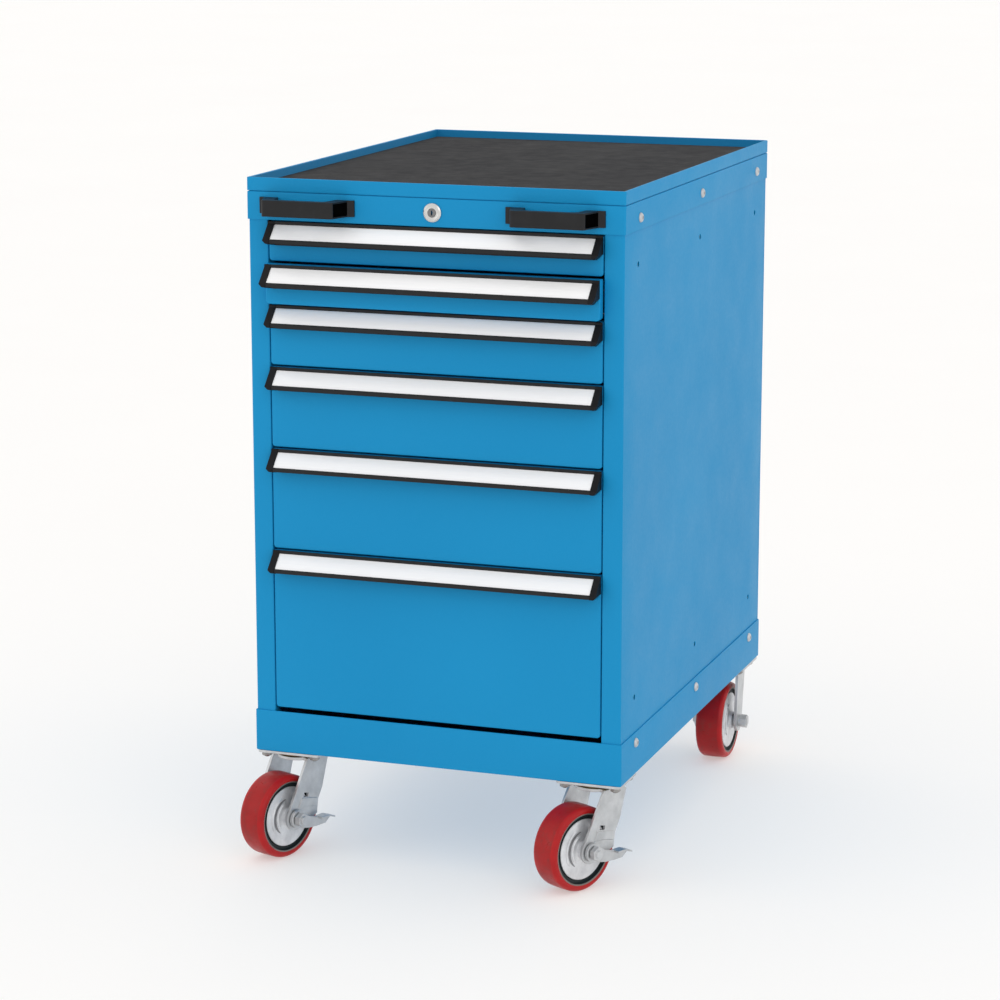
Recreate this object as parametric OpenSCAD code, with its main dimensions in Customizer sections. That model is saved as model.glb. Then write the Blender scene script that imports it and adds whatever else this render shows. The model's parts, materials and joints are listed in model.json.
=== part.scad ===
// Mobile drawer cabinet: a sheet-steel housing with six telescopic drawers, a tray top with a
// rubber mat, two braked swivel casters in front and two fixed casters at the rear.
// Millimetres, +Z up, floor at Z = 0, drawers open toward -Y.
// The origin lies on the floor, under the middle of the whole object's box.

/* [Cabinet] */
// Overall width of tray, rail and plinth
cabinet_w = 564; // [550:2:600]
// Overall depth of tray, rail and plinth
cabinet_d = 765; // [745:5:800]
// Height of one drawer unit
unit_h = 30; // [29:0.5:34]
// Height of the plinth skirt
plinth_h = 62; // [58:1:75]
// Height of the top rail
rail_h = 40; // [38:1:50]
// Height of the tray
tray_h = 20; // [18:1:26]
// Gap between the plinth and the lowest drawer
sill_h = 5; // [4:0.5:8]
// How far rail and plinth stand proud of the panels
belt_step = 2; // [1.6:0.1:3]
// Sheet thickness of panels and drawers
sheet = 1.5; // [1.2:0.1:1.8]
// Width of a front stile, from the cabinet's outer side
stile_w = 31; // [29:0.5:33]

/* [Drawers] */
// Gap round a drawer front
front_gap = 1.5; // [1:0.1:2]
// Length of a drawer body
drawer_l = 700; // [640:5:700]
// Width of a drawer body outside
drawer_w = 461; // [455:1:462]
// How far the second drawer stands open at rest
ajar = 15; // [0:1:25]
// Length of a telescopic slide member
slide_l = 697; // [640:1:700]
// Thickness of a label strip
label_t = 1; // [0.6:0.1:1.2]

/* [Tray] */
// Width of the folded lip
lip_w = 4; // [3:0.5:8]
// Depth from the lip to the tray floor
tray_depth = 14; // [12:0.5:15]
// Thickness of the ribbed mat
mat_t = 2.5; // [2:0.5:5]

/* [Pull handles] */
// Length over the feet
pull_l = 145; // [120:1:150]
// How far the bar stands out
pull_out = 40; // [36:1:55]
// Height of the bar
pull_h = 23; // [18:1:28]
// Distance of each handle's middle from the cabinet's middle
pull_x = 185; // [160:1:190]
// How far the pair of handles sits off the middle
pull_shift = -4; // [-5:1:5]

/* [Casters] */
// Height of the mounting face above the floor
mount_h = 158; // [157:0.5:165]
// Wheel radius
wheel_r = 62.5; // [58:0.5:63]
// Tread width
tread_w = 44; // [38:1:48]
// Horizontal offset of a swivel caster's axle from its swivel axis
trail = 46; // [38:1:50]
// Distance of each caster's middle from the cabinet's middle, across
caster_x = 232; // [215:1:232]
// Distance of the front casters' middle from the cabinet's middle
caster_y = 340; // [310:1:340]
// Distance of the rear casters' middle from the cabinet's middle
rear_caster_y = 332; // [300:1:338]
// Width of a mounting plate
plate_w = 98; // [94:1:98]
// Depth of a mounting plate
plate_d = 84; // [80:1:84]
// Bolt spacing across
pitch_x = 76; // [74:1:78]
// Bolt spacing front to back
pitch_y = 60; // [58:1:62]

/* [Hidden] */
$fn = 48;
CORNERS = ["front_left", "front_right", "rear_right", "rear_left"];
SIDE_X = [-1, 1, 1, -1];
FRONT = [0, 1];
REAR = [2, 3];
TURN = [-20, -27, 0, 0];
UNITS = [2, 2, 3, 4, 5, 8];

// Heights above the plinth's lower edge
total_units = 24;
zone_low = plinth_h + sill_h;
rail_low = zone_low + total_units * unit_h;
rail_top = rail_low + rail_h;
lip_top = rail_top + tray_h;
function units_above(k) = k <= 1 ? 0 : UNITS[k - 2] + units_above(k - 1);
function zone_top(k) = rail_low - units_above(k) * unit_h;
function zone_h(k) = UNITS[k - 1] * unit_h;

// Plan of the housing
half_w = cabinet_w / 2;
half_d = cabinet_d / 2;
panel_x = half_w - belt_step;
front_y = -half_d + belt_step;
back_y = half_d - belt_step;
opening_x = half_w - stile_w;
front_half = opening_x - front_gap;
return_d = 20;

// Slides: cabinet rail, intermediate slide and drawer runner nest sideways
play = 1;
runner_x = drawer_w / 2;
runner_depth = 15.5;
runner_h = 25;
slide_out = opening_x - 0.5;
slide_in = 236;
slide_h = 30;
rail_in = 243;
rail_web = opening_x + 0.5;
rail_section_h = slide_h + 2 * (play + sheet);
rail_centre = 22;
slide_start = 28.5;

// Grip profile: the label channel falls outward at 45 degrees
cap_w = 10;
cap_bevel = 9;
grip_half = front_half - cap_w;
channel_in = 1.5;
channel_out = 21;
channel_top = 6.7;
lip_out = 24;
lip_low = 31.2;
grip_low = 36;

// Casters
tread_t = 9.5;
core_r = wheel_r - tread_t;
hub_half = 26.6;
leg_t = 4.5;
leg_in = 31;
leg_out = leg_in + leg_t;
fork_end_r = 18;
fork_top = mount_h - 10;
crown_t = 4.5;
crown_front = 19;
crown_rear = 19;
fixed_trail = 13;
fixed_end_r = 17;
plate_t = 4;
axle_r = 6;
axle_end = 54;
fixed_axle_end = 50;
axle_nut_t = 9;
axle_nut_r = 11;
washer_r = 10;
kingpin_r = 6;
kingpin_low = 21.5;
race_low = 9.4;
race_r = 33;
running = 0.08;
loose = 0.1;
bolt_r = 4;
bolt_hole_r = 4.25;
nut_r = 7.5;
nut_t = 6.5;
floor_t = 2;

// Side brake: an arm on the axle, with a foot pad behind
pedal_t = 5.5;
pedal_gap = 0.7;
cup_r = 14;
pad_reach = 69;
pad_w = 15;

// Holes in the side panels, and the screws of rail and plinth
side_y = 315;
panel_hole_r = 4;
panel_hole_low = 115;
panel_hole_high = 739;
screw_high = rail_low + 17;
screw_low = plinth_h - 14.5;

// Lock
lock_z = rail_low + rail_h / 2;
lock_flange_r = 13.4;
lock_body_r = 9.5;
barrel_r = 6;
cam_reach = 24;
cam_t = 3;
cam_behind = 23.5;

// Middle of the cabinet, so that the object's box is centred on the origin
shoulder_cut = 1;
front_reach = caster_y + (trail + wheel_r) * cos(TURN[0]) - tread_w / 2 * sin(TURN[0]) - shoulder_cut;
cabinet_y = (front_reach - half_d) / 2;

// ---- placing ----

module in_cabinet() translate([0, cabinet_y, mount_h]) children();

// A drawer's own place: Y = 0 on its front face, Z = 0 at the top of its zone
module in_drawer(k, share = 1)
    in_cabinet()
        translate([0, front_y - (k == 2 ? ajar * share : 0), zone_top(k)])
            children();

// A caster's own place: Z axis through its plate's middle, wheel axis along X, trailing toward -Y
module in_caster(i)
    translate([SIDE_X[i] * caster_x, cabinet_y + plate_y(i), 0])
        rotate(TURN[i])
            children();

// A wheel's own place: its axle along X
module on_axle(i) in_caster(i) translate([0, -axle_back(i), wheel_r]) children();

function plate_y(i) = i < 2 ? -caster_y : rear_caster_y;
function axle_back(i) = i < 2 ? trail : fixed_trail;

// Extrudes an outline drawn in (Y, Z) along X, from -half to half
module along_x(half) translate([-half, 0, 0]) rotate([90, 0, 90]) linear_extrude(2 * half) children();

// Extrudes an outline drawn in (X, Z) along Y, from 0 to length
module along_y(length) translate([0, length, 0]) rotate([90, 0, 0]) linear_extrude(length) children();

module both_sides() for (s = [0, 1]) mirror([s, 0, 0]) children();

module rod_x(r, x0, x1) translate([x0, 0, 0]) rotate([0, 90, 0]) cylinder(r = r, h = x1 - x0);

module hex_x(r, x0, length) translate([x0, 0, 0]) rotate([0, 90, 0]) cylinder(r = r, h = length, $fn = 6);

module rod_y(r, y0, y1) translate([0, y1, 0]) rotate([90, 0, 0]) cylinder(r = r, h = y1 - y0);

module block(x0, x1, y0, y1, z0, z1) translate([x0, y0, z0]) cube([x1 - x0, y1 - y0, z1 - z0]);

// ---- top ----

module top_tray() color("dodgerblue") in_cabinet() {
    seam = 1;
    inset = 2.5;
    floor_z = lip_top - tray_depth;
    difference() {
        block(-half_w, half_w, -half_d, half_d, rail_top + seam, lip_top);
        block(-half_w + lip_w, half_w - lip_w, -half_d + lip_w, half_d - lip_w, floor_z, lip_top + 1);
        block(-half_w + inset, half_w - inset, -half_d + inset, half_d - inset,
              rail_top, floor_z - sheet);
    }
    difference() {
        block(-half_w + inset, half_w - inset, -half_d + inset, half_d - inset,
              rail_top, floor_z - sheet);
        block(-half_w + inset + floor_t, half_w - inset - floor_t,
              -half_d + inset + floor_t, half_d - inset - floor_t, rail_top - 1, floor_z);
    }
}

module top_mat() color("dimgray") in_cabinet() {
    margin = lip_w + 0.5;
    floor_z = lip_top - tray_depth;
    block(-half_w + margin, half_w - margin, -half_d + margin, half_d - margin, floor_z, floor_z + mat_t);
}

// Rail, side belts and deck in one folded piece
module top_rail() color("deepskyblue") in_cabinet() difference() {
    block(-half_w, half_w, -half_d, half_d, rail_low, rail_top);
    block(-panel_x, panel_x, front_y, back_y, rail_low - 1, rail_top - floor_t);
    translate([0, 0, lock_z]) rod_y(lock_body_r, -half_d - 1, front_y + 1);
    side_holes(screw_high, bolt_hole_r);
}

module side_holes(z, r)
    for (y = [-side_y, 0, side_y])
        translate([0, y, z])
            rod_x(r, -half_w - 1, half_w + 1);

// ---- housing ----

module side_panel() in_cabinet() difference() {
    union() {
        block(panel_x - sheet, panel_x, front_y, back_y - sheet, floor_t, rail_top - floor_t);
        block(opening_x, panel_x, front_y, front_y + sheet, floor_t, rail_top - floor_t);
        block(opening_x, opening_x + sheet, front_y, front_y + return_d, floor_t, rail_top - floor_t);
        block(panel_x - return_d, panel_x, back_y - 2 * sheet, back_y - sheet,
              floor_t, rail_top - floor_t);
    }
    side_holes(screw_high, bolt_hole_r);
    side_holes(screw_low, bolt_hole_r);
    side_holes(panel_hole_low, panel_hole_r);
    side_holes(panel_hole_high, panel_hole_r);
}

module right_side_panel() color("steelblue") side_panel();

module left_side_panel() color("steelblue") mirror([1, 0, 0]) side_panel();

module back_panel() color("steelblue") in_cabinet()
    block(-panel_x, panel_x, back_y - sheet, back_y, floor_t, rail_top - floor_t);

module plinth() color("dodgerblue") in_cabinet() difference() {
    block(-half_w, half_w, -half_d, half_d, 0, plinth_h);
    block(-panel_x, panel_x, front_y, back_y, floor_t, plinth_h + 1);
    side_holes(screw_low, bolt_hole_r);
    caster_bolt_places() translate([0, 0, -1]) cylinder(r = bolt_hole_r, h = floor_t + 2);
}

// Button-head screw along X with its nut inside the housing
module side_screw() {
    head_t = 4.2;
    shank = 12;
    rod_x(bolt_r, -shank, 0);
    hex_x(nut_r, -belt_step - sheet - nut_t, nut_t);
    rotate([0, 90, 0]) rotate_extrude() polygon([
        [0, 0], [7, 0], [7, 0.8], [6.4, 2.2], [5, 3.4], [3.4, head_t],
        [2.4, head_t], [2.4, 1.8], [0, 1.8]
    ]);
}

module side_screws() color("silver") in_cabinet() both_sides()
    for (y = [-side_y, 0, side_y], z = [screw_low, screw_high])
        translate([half_w, y, z])
            side_screw();

// ---- pull handles ----

// Bridge handle: a square bar on two sloping legs with broad feet, pocketed for the fixing screws
module pull_handle() {
    foot = 9;
    slope = 19;
    bar_t = 11;
    half = pull_l / 2;
    bar_half = half - foot - slope / 2;
    difference() {
        translate([0, 0, -pull_h / 2]) linear_extrude(pull_h) polygon([
            [-half, 0], [-half, -3], [-half + foot, -5], [-bar_half, -pull_out + 4],
            [-bar_half + 4, -pull_out], [bar_half - 4, -pull_out], [bar_half, -pull_out + 4],
            [half - foot, -5], [half, -3], [half, 0], [half - foot - slope, 0],
            [bar_half - bar_t - 3, -pull_out + bar_t + 4], [bar_half - bar_t - 7, -pull_out + bar_t],
            [-bar_half + bar_t + 7, -pull_out + bar_t], [-bar_half + bar_t + 3, -pull_out + bar_t + 4],
            [-half + foot + slope, 0]
        ]);
        both_sides() pull_pocket(half - foot, bar_half);
    }
}

// Screw pocket sunk into a leg's sloping outer face
module pull_pocket(x0, x1) {
    wall = 2.5;
    deep = 7;
    translate([0, 0, -pull_h / 2 + wall]) linear_extrude(pull_h - 2 * wall) polygon([
        [x0 + 1, -6.5], [x1 + 1, -pull_out + 3.5], [x1 - deep, -pull_out + 3.5], [x0 - deep, -6.5]
    ]);
}

module pull_handles() color([0.18, 0.18, 0.19]) in_cabinet()
    for (s = [-1, 1])
        translate([s * pull_x + pull_shift, -half_d, rail_low + rail_h / 2 + 1])
            pull_handle();

// ---- lock ----

module lock_housing() color("silver") in_cabinet() translate([0, -half_d, lock_z]) difference() {
    union() {
        rod_y(lock_flange_r, -3, 0);
        rod_y(lock_body_r, -1, cam_behind - 1);
    }
    rod_y(barrel_r + running, -4, cam_behind);
}

module lock_barrel() color("gainsboro") in_cabinet() translate([0, -half_d, lock_z]) difference() {
    rod_y(barrel_r, -3.5, cam_behind);
    block(-0.7, 0.7, -4, 5, -4, 4);
}

// The cam points sideways when unlocked; a quarter turn drops it into the top drawer's slot
module lock_cam() color("silver") in_cabinet() translate([0, -half_d + cam_behind, lock_z]) {
    rod_y(7, 0, cam_t);
    block(0, cam_reach, 0, cam_t, -6, 6);
}

// ---- slides ----

// Cabinet rails: an H section fixed to each side panel, one pair per drawer
module slide_rails() color("lightsteelblue") in_cabinet()
    for (k = [1:6])
        translate([0, front_y + slide_start - 3, zone_top(k) - zone_h(k) + rail_centre])
            both_sides() along_y(slide_l + 6) union() {
                translate([rail_web, -rail_section_h / 2]) square([sheet, rail_section_h]);
                for (z = [-rail_section_h / 2, rail_section_h / 2 - sheet])
                    translate([rail_in, z]) square([panel_x - sheet - rail_in, sheet]);
            }

// Intermediate member, a C section that runs in the cabinet rail
module slides(k) color("gainsboro") in_drawer(k, 0.5)
    translate([0, slide_start, -zone_h(k) + rail_centre])
        both_sides() along_y(slide_l) difference() {
            translate([slide_in, -slide_h / 2]) square([slide_out - slide_in, slide_h]);
            translate([slide_in - 1, -slide_h / 2 + sheet])
                square([slide_out - slide_in + 1 - sheet, slide_h - 2 * sheet]);
        }

// Drawer member, a C section on the drawer's side that runs in the intermediate member
module runners(k) color("silver") in_drawer(k)
    translate([0, slide_start - 8, -zone_h(k) + rail_centre])
        both_sides() along_y(drawer_l - 25) difference() {
            translate([runner_x, -runner_h / 2]) square([runner_depth, runner_h]);
            translate([runner_x + sheet, -runner_h / 2 + sheet])
                square([runner_depth, runner_h - 2 * sheet]);
        }

// ---- drawers ----

module drawer(k) color("dodgerblue") in_drawer(k) {
    low = -zone_h(k) + front_gap;
    floor_z = -zone_h(k) + 5;
    wall_top = -10;
    flange_d = k == 1 ? 30 : 14;
    fold_d = 15;
    inset = 6;
    union() {
        drawer_front(low, -front_gap);
        both_sides() block(front_half - sheet, front_half, sheet, fold_d, low + inset, -front_gap);
        block(-front_half + inset, front_half - inset, sheet, fold_d, low, low + sheet);
        difference() {
            block(-front_half, front_half, sheet, flange_d, -front_gap - sheet, -front_gap);
            if (k == 1) lock_slot();
        }
        difference() {
            block(-drawer_w / 2, drawer_w / 2, sheet, drawer_l, floor_z, wall_top);
            block(-drawer_w / 2 + sheet, drawer_w / 2 - sheet, 0, drawer_l - sheet,
                  floor_z + sheet, wall_top + 1);
        }
    }
}

// Slot for the lock's cam, with room for its swing
module lock_slot() {
    room = 1;
    cam_near = cam_behind - belt_step;
    block(-8, 14, cam_near - room, cam_near + cam_t + room, -6, 0);
}

// Front plate with its two lower corners rounded
module drawer_front(low, high) {
    r = 5;
    along_y(sheet) union() {
        translate([-front_half, low + r]) square([2 * front_half, high - low - r]);
        translate([-front_half + r, low]) square([2 * front_half - 2 * r, r + 1]);
        for (s = [-1, 1]) translate([s * (front_half - r), low + r]) circle(r = r);
    }
}

// Grip profile with an end cap at each end; the fingers hook up behind its lip
module grip(k) color([0.2, 0.2, 0.21]) in_drawer(k) {
    along_x(grip_half) polygon([
        [0, -1.5], [-2.8, -1.5], [-2.8, -5.4], [-channel_in, -channel_top],
        [-channel_out, -channel_top - channel_out + channel_in], [-22.4, -24.8], [-lip_out, -26.4],
        [-lip_out, -lip_low], [-lip_out + 2.4, -lip_low], [-lip_out + 2.4, -lip_low + 1],
        [-2, -10.6], [-2, -grip_low], [0, -grip_low]
    ]);
    both_sides() difference() {
        translate([grip_half + cap_w / 2 + loose, 0, 0]) along_x(cap_w / 2 - loose) polygon([
            [0, -1.5], [-3.4, -1.5], [-3.4, -5], [-24.8, -26.4], [-24.8, -lip_low], [-18, -33],
            [0, -grip_low]
        ]);
        translate([front_half, 0, -grip_low]) rotate([0, 45, 0])
            cube([cap_bevel * sqrt(2), 60, cap_bevel * sqrt(2)], center = true);
    }
}

module label(k) color("whitesmoke") in_drawer(k) along_x(grip_half - 0.2) polygon([
    [-channel_in, -channel_top], [-channel_out, -channel_top - channel_out + channel_in],
    [-channel_out - label_t / sqrt(2), -channel_top - channel_out + channel_in + label_t / sqrt(2)],
    [-channel_in - label_t / sqrt(2), -channel_top + label_t / sqrt(2)]
]);

// ---- casters ----

module bolt_pattern()
    for (x = [-pitch_x / 2, pitch_x / 2], y = [-pitch_y / 2, pitch_y / 2])
        translate([x, y, 0])
            children();

module caster_bolt_places()
    for (i = [0:3])
        translate([SIDE_X[i] * caster_x, plate_y(i), 0])
            bolt_pattern() children();

// Four hex bolts through the plinth floor into each plate, nuts below
module caster_bolts() color("gray") in_cabinet() caster_bolt_places() union() {
    head_t = 5.3;
    below = 12.2;
    rotate(30) translate([0, 0, floor_t]) cylinder(r = nut_r, h = head_t, $fn = 6);
    translate([0, 0, -below]) cylinder(r = bolt_r, h = below + floor_t + 1);
    rotate(30) translate([0, 0, -plate_t - nut_t]) cylinder(r = nut_r, h = nut_t, $fn = 6);
}

// Rectangular plate with its four bolt holes, its upper face at Z = 0
module mounting_plate() difference() {
    block(-plate_w / 2, plate_w / 2, -plate_d / 2, plate_d / 2, -plate_t, 0);
    bolt_pattern() translate([0, 0, -plate_t - 1]) cylinder(r = bolt_hole_r, h = plate_t + 2);
}

// Mounting plate, upper raceway and kingpin with its nut, in the cabinet's directions
module caster_plates() color("silver") for (i = FRONT)
    translate([SIDE_X[i] * caster_x, cabinet_y + plate_y(i), mount_h]) union() {
        mounting_plate();
        rotate_extrude() polygon([
            [0, -plate_t], [race_r, -plate_t], [race_r, -6.2], [race_r - 3, -8.6],
            [race_r - 7, -race_low], [0, -race_low]
        ]);
        translate([0, 0, -kingpin_low]) cylinder(r = kingpin_r, h = kingpin_low - race_low + 1);
        translate([0, 0, -kingpin_low + 0.5]) cylinder(r = axle_nut_r, h = 6.2, $fn = 6);
    }

// Point just inside a circle round c for a leg's edge that comes from p; turn = 1 or -1 picks the side
function touch(p, c, r, turn) =
    let (tuck = 0.3, in = r - tuck, d = p - c, a = atan2(d[1], d[0]) + turn * acos(in / norm(d)))
    c + in * [cos(a), sin(a)];

// Swivel leg in (Y, Z): wide at the crown, stepping in behind and broad again beside the axle
module fork_leg_outline() {
    axle = [-trail, wheel_r];
    front_top = [-crown_front, fork_top];
    knee = [12, 98];
    step = [3, 82];
    heel = [0, 60];
    polygon([
        front_top, touch(front_top, axle, fork_end_r, 1), axle, touch(heel, axle, fork_end_r, -1),
        heel, step, knee, [crown_rear + 6.5, fork_top - 5], [crown_rear, fork_top]
    ]);
    translate(axle) circle(r = fork_end_r);
}

// Raised plate on the braked side of the leg, in (Y, Z) about the axle
module cover_outline()
    polygon([[6.5, 14.5], [12.5, 28], [44, 22], [44, 9], [26, 13]]);

// Axle bolt along X: head on the inner side, nut on the outer side
module axle_bolt(head_x, nut_x, end) union() {
    head_t = 4.5;
    rod_x(axle_r, head_x - 1, end);
    hex_x(axle_nut_r, head_x - head_t, head_t);
    hex_x(axle_nut_r, nut_x, axle_nut_t);
}

// Crown and two legs, with the axle bolt through them
module fork(i) color("silver") {
    cover_t = 1.5;
    in_caster(i) difference() {
        union() {
            for (x0 = [-leg_out, leg_in])
                translate([x0 + leg_t / 2, 0, 0]) along_x(leg_t / 2) fork_leg_outline();
            block(-leg_out, leg_out, -crown_front, crown_rear, fork_top - crown_t, fork_top);
            translate([0, 0, fork_top - crown_t]) cylinder(r = race_r - 1, h = crown_t);
            translate([leg_out, -trail, wheel_r]) along_x(cover_t) cover_outline();
            both_sides() translate([0, -trail, wheel_r]) rod_x(washer_r, hub_half + 0.4, leg_in + 1);
        }
        translate([0, 0, fork_top - crown_t - 1]) cylinder(r = kingpin_r + running, h = crown_t + 2);
        translate([0, -trail, wheel_r]) rod_x(axle_r + loose, -leg_out - 1, leg_out + 1);
        translate([0, -trail + 23, wheel_r + 31]) rotate([-12, 0, 0])
            block(leg_in - 1, leg_out + cover_t + 1, -5, 5, -3, 3);
    }
    on_axle(i) axle_bolt(-leg_out - loose, leg_out + pedal_t + 1.5, axle_end);
}

// Fixed caster bracket: plate, two upright legs, a spacer boss beside the hub, and the axle bolt
module bracket(i) color("silver") {
    top_half = 21;
    leg_top = mount_h - plate_t / 2;
    axle = [-fixed_trail, wheel_r];
    in_caster(i) difference() {
        union() {
            translate([0, 0, mount_h]) mounting_plate();
            for (x0 = [-leg_out, leg_in])
                translate([x0 + leg_t / 2, 0, 0]) along_x(leg_t / 2) union() {
                    polygon([
                        [-top_half, leg_top], touch([-top_half, leg_top], axle, fixed_end_r, 1), axle,
                        touch([top_half, leg_top], axle, fixed_end_r, -1), [top_half, leg_top]
                    ]);
                    translate(axle) circle(r = fixed_end_r);
                }
            both_sides() translate([0, axle[0], axle[1]]) rod_x(washer_r, hub_half + 0.4, leg_in + 1);
        }
        translate([0, axle[0], axle[1]]) rod_x(axle_r + loose, -leg_out - 1, leg_out + 1);
    }
    on_axle(i) mirror([i == 3 ? 1 : 0, 0, 0]) union() {
        axle_bolt(-leg_out - loose, fixed_axle_end - axle_nut_t - 1, fixed_axle_end);
        rod_x(washer_r, leg_out + loose, fixed_axle_end - axle_nut_t);
    }
}

// Cast core: hub, dished web and rim with a groove inside the rim on each face
module wheel_core(i) color("gainsboro") on_axle(i)
    rotate([0, 90, 0]) rotate_extrude() mirrored_profile([
        [axle_r + running, hub_half], [13, hub_half], [15, 20], [44, 20], [46, 18.5], [46, 16.5],
        [50.3, 16.5], [50.3, 21.5], [core_r, 21.5]
    ]);

// Polyurethane tread with round shoulders
module tread(i) color("firebrick") on_axle(i)
    rotate([0, 90, 0]) rotate_extrude() mirrored_profile(concat(
        [[core_r, tread_w / 2]],
        [for (a = [90:-15:0]) [wheel_r - 6 + 6 * cos(a), tread_w / 2 - 7 + 7 * sin(a)]]
    ));

// Closes a half profile, given from the bore outward at its upper face, about Y = 0
module mirrored_profile(half)
    polygon(concat(half, [for (j = [len(half) - 1:-1:0]) [half[j][0], -half[j][1]]]));

// Side brake: a cup on the axle bolt, an arm that points away from the trail, and its foot pad
module brake_pedal(i) color("silver") on_axle(i) translate([leg_out + pedal_gap, 0, 0]) {
    difference() {
        union() {
            rod_x(cup_r, 0, pedal_t);
            translate([pedal_t / 2, 0, 0]) along_x(pedal_t / 2) polygon([
                [0, -cup_r], [24, -19], [40, -20], [58, -20], [64, -15], [pad_reach, -12],
                [pad_reach, -9.5], [56, -5], [38, -5], [24, -1], [10, 7]
            ]);
            translate([pad_w / 2, 0, 0]) along_x(pad_w / 2) polygon([
                [40, -8], [56, -7.5], [pad_reach, -12], [pad_reach, -9.5], [56, -5], [40, -5]
            ]);
        }
        rod_x(axle_r + running, -1, pedal_t + 1);
    }
}

// ---- nodes ----

top_tray();
top_mat();
top_rail();
left_side_panel();
right_side_panel();
back_panel();
plinth();
pull_handles();
side_screws();
slide_rails();
caster_plates();
caster_bolts();
lock_housing();
lock_barrel();
lock_cam();
for (k = [1:6]) {
    drawer(k);
    grip(k);
    label(k);
    runners(k);
    slides(k);
}
for (i = [0:3]) {
    wheel_core(i);
    tread(i);
}
for (i = FRONT) {
    fork(i);
    brake_pedal(i);
}
for (i = REAR)
    bracket(i);
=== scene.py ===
"""Looks of a mobile drawer cabinet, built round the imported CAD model: bent sheet-steel housing and
drawers, moulded grips and pull handles, ribbed mat, and casters with red wheels."""

import json
import math

import bpy
import bmesh
from mathutils import Matrix, Vector


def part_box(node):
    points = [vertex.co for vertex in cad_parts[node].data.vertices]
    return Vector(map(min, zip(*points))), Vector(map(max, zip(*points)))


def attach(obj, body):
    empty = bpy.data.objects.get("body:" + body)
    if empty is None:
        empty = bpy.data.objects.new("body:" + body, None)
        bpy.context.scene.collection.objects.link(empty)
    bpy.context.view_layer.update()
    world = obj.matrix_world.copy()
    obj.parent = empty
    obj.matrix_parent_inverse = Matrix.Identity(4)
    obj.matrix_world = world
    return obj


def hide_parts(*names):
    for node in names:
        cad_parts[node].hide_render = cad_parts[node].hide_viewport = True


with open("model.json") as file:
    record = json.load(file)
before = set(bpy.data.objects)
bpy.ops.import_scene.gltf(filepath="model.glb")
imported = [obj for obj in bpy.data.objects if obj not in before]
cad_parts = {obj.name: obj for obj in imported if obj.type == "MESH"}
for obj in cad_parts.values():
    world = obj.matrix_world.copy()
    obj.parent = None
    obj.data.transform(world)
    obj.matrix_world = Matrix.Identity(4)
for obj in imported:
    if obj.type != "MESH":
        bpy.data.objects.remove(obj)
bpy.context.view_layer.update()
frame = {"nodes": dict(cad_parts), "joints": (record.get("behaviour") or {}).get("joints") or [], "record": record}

MM = 0.001
FRONT = ["front_left", "front_right"]
REAR = ["rear_right", "rear_left"]
DRAWERS = range(1, 7)
JOINTS = {joint["name"]: joint for joint in frame["joints"]}
IDENTITY = Matrix.Identity(4)

# Sizes in millimetres that the CAD boxes don't give
SHEET = 1.5
FLOOR_SHEET = 2
RETURN_DEPTH = 20
DRAWER_RETURN = 15
LIP_WIDTH = 4
CAP_WIDTH = 10
PLATE = 4
PLATE_WIDTH, PLATE_DEPTH = 98, 84
BOLT_X, BOLT_Y = 38, 30
BOLT_RADIUS = 4
NUT_ACROSS, NUT_HEIGHT = 13, 6.5
NUT_REACH = 7.5
PULL_LENGTH = 145
GRIP_LIP_OUT, GRIP_LIP_LOW, GRIP_LOW = 24, 31.2, 36
GRIP_GAP = 1.5
CORE_RADIUS, WHEEL_RADIUS = 53, 62.5

# Angles between faces from which an edge is shaded sharp, and from which soften rounds it
SHARP = math.radians(32)
ROUNDED = math.radians(35)


# ---- camera, light and floor ----

def make_camera():
    azimuth, elevation = math.radians(19.4), math.radians(12.2)
    distance, lens = 4.7676, 111.09
    low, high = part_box("top_mat")
    target = Vector((-0.0348, (low.y + high.y) / 2, 0.47495))
    back = Vector((
        math.sin(azimuth) * math.cos(elevation),
        -math.cos(azimuth) * math.cos(elevation),
        math.sin(elevation),
    ))
    data = bpy.data.cameras.new("camera")
    data.lens = lens
    data.sensor_width = 36
    data.clip_start, data.clip_end = 0.1, 200
    camera = bpy.data.objects.new("camera", data)
    camera.location = target + distance * back
    camera.rotation_euler = back.to_track_quat("Z", "Y").to_euler()
    bpy.context.scene.collection.objects.link(camera)
    bpy.context.scene.camera = camera


def softbox(name, place, aim, size, watts):
    data = bpy.data.lights.new(name, "AREA")
    data.shape = "RECTANGLE"
    data.size, data.size_y = size
    data.energy = watts
    light = bpy.data.objects.new(name, data)
    light.location = place
    light.rotation_euler = (Vector(place) - Vector(aim)).to_track_quat("Z", "Y").to_euler()
    bpy.context.scene.collection.objects.link(light)


def make_studio():
    world = bpy.data.worlds.new("studio")
    world.use_nodes = True
    background = world.node_tree.nodes["Background"]
    background.inputs["Color"].default_value = (1, 1, 1, 1)
    background.inputs["Strength"].default_value = 0.98
    bpy.context.scene.world = world
    softbox("key", (2.6, -3.2, 2.8), (0, 0, 0.5), (2.4, 2.4), 14)
    softbox("fill", (-3.0, -2.6, 1.8), (0, 0, 0.5), (2.4, 2.0), 6)
    bpy.context.scene.view_settings.view_transform = "Standard"
    floor_half = 60
    shape = Shape()
    shape.add(
        [(-floor_half, -floor_half, 0), (floor_half, -floor_half, 0),
         (floor_half, floor_half, 0), (-floor_half, floor_half, 0)],
        [(0, 1, 2, 3)], unit=1,
    )
    floor = shape.build("floor", [floor_material()])


# ---- outlines, in millimetres ----

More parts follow.
